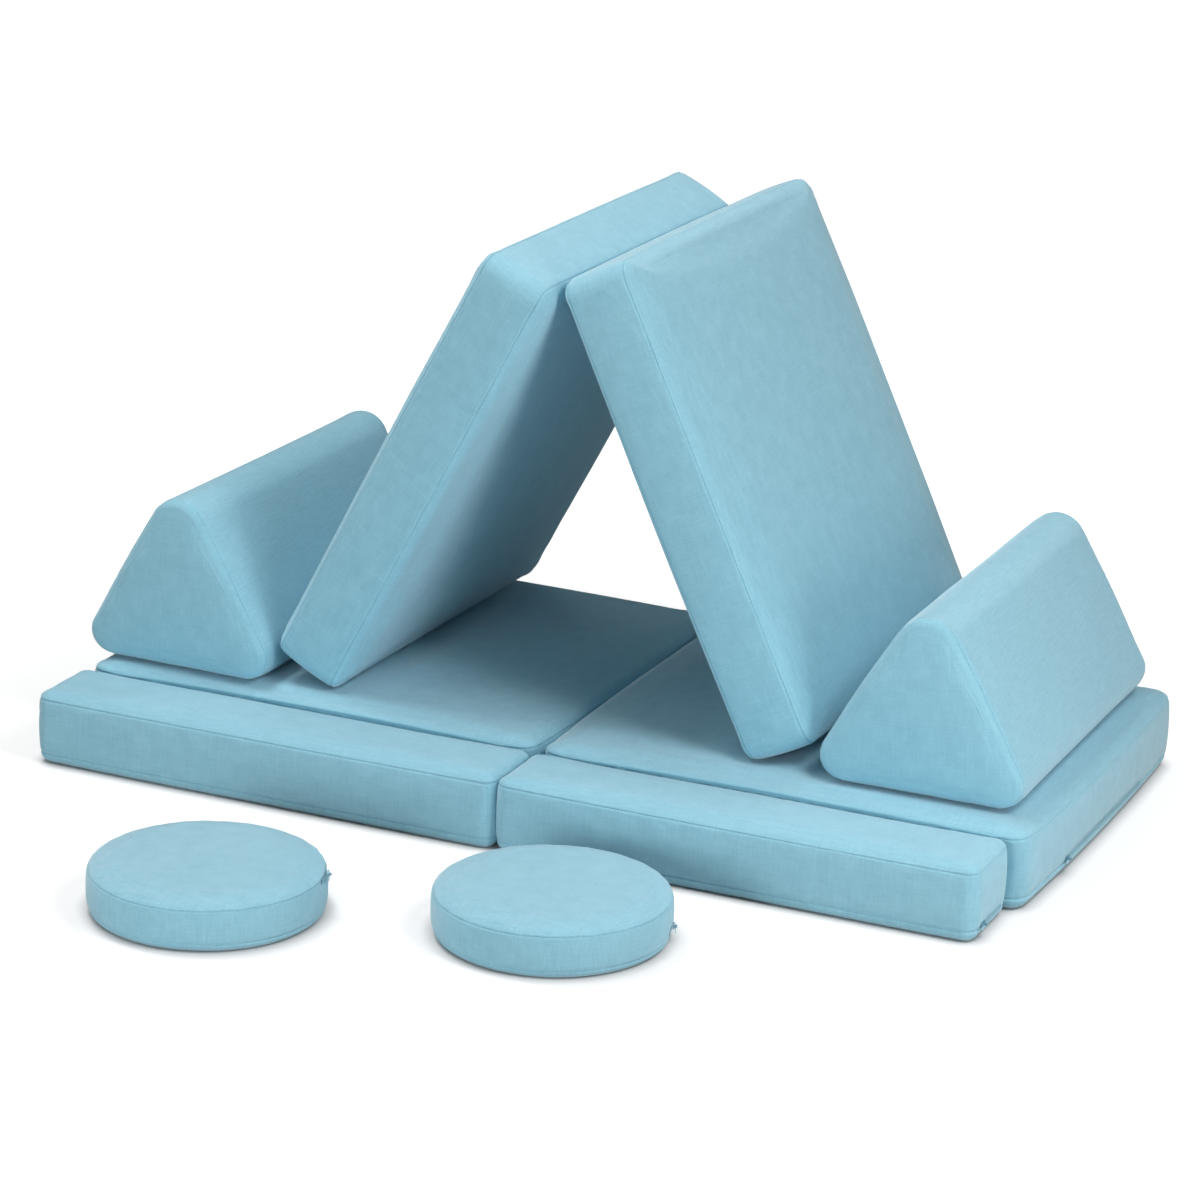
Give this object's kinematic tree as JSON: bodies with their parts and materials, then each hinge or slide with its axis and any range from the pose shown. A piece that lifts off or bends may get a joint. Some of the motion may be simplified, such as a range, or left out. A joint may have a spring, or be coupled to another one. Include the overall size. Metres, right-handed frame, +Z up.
{
  "type": "modular foam play sofa",
  "caption": "Fabric-covered foam cushions set up as a crawl-through tent: bases, strips, leaning panels, wedges and discs, each with a zipped cover.",
  "frame": {"origin": "middle of the left base cushion's underside, on the floor", "axes": "+X from the left base to the right base, along the longest extent; +Y to the back, away from the strips and discs; +Z up"},
  "size_m": [1.6473, 1.5499, 0.8946],
  "materials": {
    "cover_fabric": "light blue woven fabric, matte",
    "foam": null,
    "zip_tape": "blue zip tape and coil",
    "zip_metal": "die-cast metal, satin"
  },
  "bodies": {
    "base_left": {"base_left_cover": "cover_fabric", "base_left_foam": "foam", "base_left_zip": "zip_tape"},
    "base_left_slider": {"base_left_slider": "zip_metal"},
    "base_left_pull": {"base_left_pull": "zip_metal"},
    "base_right": {"base_right_cover": "cover_fabric", "base_right_foam": "foam", "base_right_zip": "zip_tape"},
    "base_right_slider": {"base_right_slider": "zip_metal"},
    "base_right_pull": {"base_right_pull": "zip_metal"},
    "strip_left": {"strip_left_cover": "cover_fabric", "strip_left_foam": "foam", "strip_left_zip": "zip_tape"},
    "strip_left_slider": {"strip_left_slider": "zip_metal"},
    "strip_left_pull": {"strip_left_pull": "zip_metal"},
    "strip_right": {"strip_right_cover": "cover_fabric", "strip_right_foam": "foam", "strip_right_zip": "zip_tape"},
    "strip_right_slider": {"strip_right_slider": "zip_metal"},
    "strip_right_pull": {"strip_right_pull": "zip_metal"},
    "panel_left": {"panel_left_cover": "cover_fabric", "panel_left_foam": "foam", "panel_left_zip": "zip_tape"},
    "panel_left_slider": {"panel_left_slider": "zip_metal"},
    "panel_left_pull": {"panel_left_pull": "zip_metal"},
    "panel_right": {"panel_right_cover": "cover_fabric", "panel_right_foam": "foam", "panel_right_zip": "zip_tape"},
    "panel_right_slider": {"panel_right_slider": "zip_metal"},
    "panel_right_pull": {"panel_right_pull": "zip_metal"},
    "wedge_left": {"wedge_left_cover": "cover_fabric", "wedge_left_foam": "foam", "wedge_left_zip": "zip_tape"},
    "wedge_left_slider": {"wedge_left_slider": "zip_metal"},
    "wedge_left_pull": {"wedge_left_pull": "zip_metal"},
    "wedge_right": {"wedge_right_cover": "cover_fabric", "wedge_right_foam": "foam", "wedge_right_zip": "zip_tape"},
    "wedge_right_slider": {"wedge_right_slider": "zip_metal"},
    "wedge_right_pull": {"wedge_right_pull": "zip_metal"},
    "disc_left": {"disc_left_cover": "cover_fabric", "disc_left_foam": "foam", "disc_left_zip": "zip_tape"},
    "disc_left_slider": {"disc_left_slider": "zip_metal"},
    "disc_left_pull": {"disc_left_pull": "zip_metal"},
    "disc_right": {"disc_right_cover": "cover_fabric", "disc_right_foam": "foam", "disc_right_zip": "zip_tape"},
    "disc_right_slider": {"disc_right_slider": "zip_metal"},
    "disc_right_pull": {"disc_right_pull": "zip_metal"}
  },
  "joints": [
    {"name": "base_right_away", "type": "slide", "parent": "base_left", "child": "base_right", "axis": [1, 0, 0], "range_m": [0, 0.15]},
    {"name": "strip_left_lift", "type": "slide", "parent": "base_left", "child": "strip_left", "axis": [0, 0, 1], "range_m": [0, 0.3]},
    {"name": "strip_right_lift", "type": "slide", "parent": "base_left", "child": "strip_right", "axis": [0, 0, 1], "range_m": [0, 0.3]},
    {"name": "panel_left_lift", "type": "slide", "parent": "base_left", "child": "panel_left", "axis": [0, 0, 1], "range_m": [0, 0.3]},
    {"name": "panel_right_lift", "type": "slide", "parent": "base_right", "child": "panel_right", "axis": [0, 0, 1], "range_m": [0, 0.3]},
    {"name": "wedge_left_lift", "type": "slide", "parent": "base_left", "child": "wedge_left", "axis": [-0.1391, 0.0028, 0.9903], "range_m": [0, 0.3]},
    {"name": "wedge_right_lift", "type": "slide", "parent": "base_right", "child": "wedge_right", "axis": [0.1391, -0.0028, 0.9903], "range_m": [0, 0.3]},
    {"name": "disc_left_lift", "type": "slide", "parent": "base_left", "child": "disc_left", "axis": [0, 0, 1], "range_m": [0, 0.3]},
    {"name": "disc_right_lift", "type": "slide", "parent": "base_left", "child": "disc_right", "axis": [0, 0, 1], "range_m": [0, 0.3]},
    {"name": "base_left_zip_travel", "type": "slide", "parent": "base_left", "child": "base_left_slider", "axis": [0, -1, 0], "range_m": [0, 0.3698]},
    {"name": "base_left_pull_swing", "type": "hinge", "parent": "base_left_slider", "child": "base_left_pull", "pos_m": [-0.4125, 0.18543, 0.024], "axis": [0, 0, 1], "range_deg": [0, 170]},
    {"name": "base_right_zip_travel", "type": "slide", "parent": "base_right", "child": "base_right_slider", "axis": [0, 1, 0], "range_m": [0, 0.3698]},
    {"name": "base_right_pull_swing", "type": "hinge", "parent": "base_right_slider", "child": "base_right_pull", "pos_m": [1.2268, -0.18543, 0.024], "axis": [0, 0, 1], "range_deg": [0, 170]},
    {"name": "strip_left_zip_travel", "type": "slide", "parent": "strip_left", "child": "strip_left_slider", "axis": [0, -1, 0], "range_m": [0, 0.0723]},
    {"name": "strip_left_pull_swing", "type": "hinge", "parent": "strip_left_slider", "child": "strip_left_pull", "pos_m": [-0.4155, -0.42014, 0.022], "axis": [0, 0, 1], "range_deg": [0, 170]},
    {"name": "strip_right_zip_travel", "type": "slide", "parent": "strip_right", "child": "strip_right_slider", "axis": [0, 1, 0], "range_m": [0, 0.0723]},
    {"name": "strip_right_pull_swing", "type": "hinge", "parent": "strip_right_slider", "child": "strip_right_pull", "pos_m": [1.1978, -0.49346, 0.022], "axis": [0, 0, 1], "range_deg": [0, 170]},
    {"name": "panel_left_zip_travel", "type": "slide", "parent": "panel_left", "child": "panel_left_slider", "axis": [-0.4586, 0.0093, -0.8886], "range_m": [0, 0.3935]},
    {"name": "panel_left_pull_swing", "type": "hinge", "parent": "panel_left_slider", "child": "panel_left_pull", "pos_m": [0.29799, 0.4049, 0.66235], "axis": [0.8884, -0.018, -0.4586], "range_deg": [0, 170]},
    {"name": "panel_right_zip_travel", "type": "slide", "parent": "panel_right", "child": "panel_right_slider", "axis": [-0.4367, 0.0088, 0.8996], "range_m": [0, 0.3935]},
    {"name": "panel_right_pull_swing", "type": "hinge", "parent": "panel_right_slider", "child": "panel_right_pull", "pos_m": [0.67054, 0.43437, 0.31339], "axis": [0.8994, -0.0182, 0.4368], "range_deg": [0, 170]},
    {"name": "wedge_left_zip_travel", "type": "slide", "parent": "wedge_left", "child": "wedge_left_slider", "axis": [-0.9998, 0.0202, 0], "range_m": [0, 0.2219]},
    {"name": "wedge_left_pull_swing", "type": "hinge", "parent": "wedge_left_slider", "child": "wedge_left_pull", "pos_m": [-0.12837, 0.29651, 0.16711], "axis": [0, 0, 1], "range_deg": [0, 170]},
    {"name": "wedge_right_zip_travel", "type": "slide", "parent": "wedge_right", "child": "wedge_right_slider", "axis": [-1, -0.0047, 0], "range_m": [0, 0.2219]},
    {"name": "wedge_right_pull_swing", "type": "hinge", "parent": "wedge_right_slider", "child": "wedge_right_pull", "pos_m": [1.12907, 0.33072, 0.16744], "axis": [0, 0, 1], "range_deg": [0, 170]},
    {"name": "disc_left_zip_travel", "type": "hinge", "parent": "disc_left", "child": "disc_left_slider", "pos_m": [0.134, -0.937, 0], "axis": [0, 0, 1], "range_deg": [0, 101.25]},
    {"name": "disc_left_pull_swing", "type": "hinge", "parent": "disc_left_slider", "child": "disc_left_pull", "pos_m": [0.30168, -0.86754, 0.061], "axis": [0, 0, 1], "range_deg": [0, 170]},
    {"name": "disc_right_zip_travel", "type": "hinge", "parent": "disc_right", "child": "disc_right_slider", "pos_m": [0.624, -0.78, 0], "axis": [0, 0, 1], "range_deg": [0, 101.25]},
    {"name": "disc_right_pull_swing", "type": "hinge", "parent": "disc_right_slider", "child": "disc_right_pull", "pos_m": [0.79168, -0.71054, 0.018], "axis": [0, 0, 1], "range_deg": [0, 170]}
  ]
}
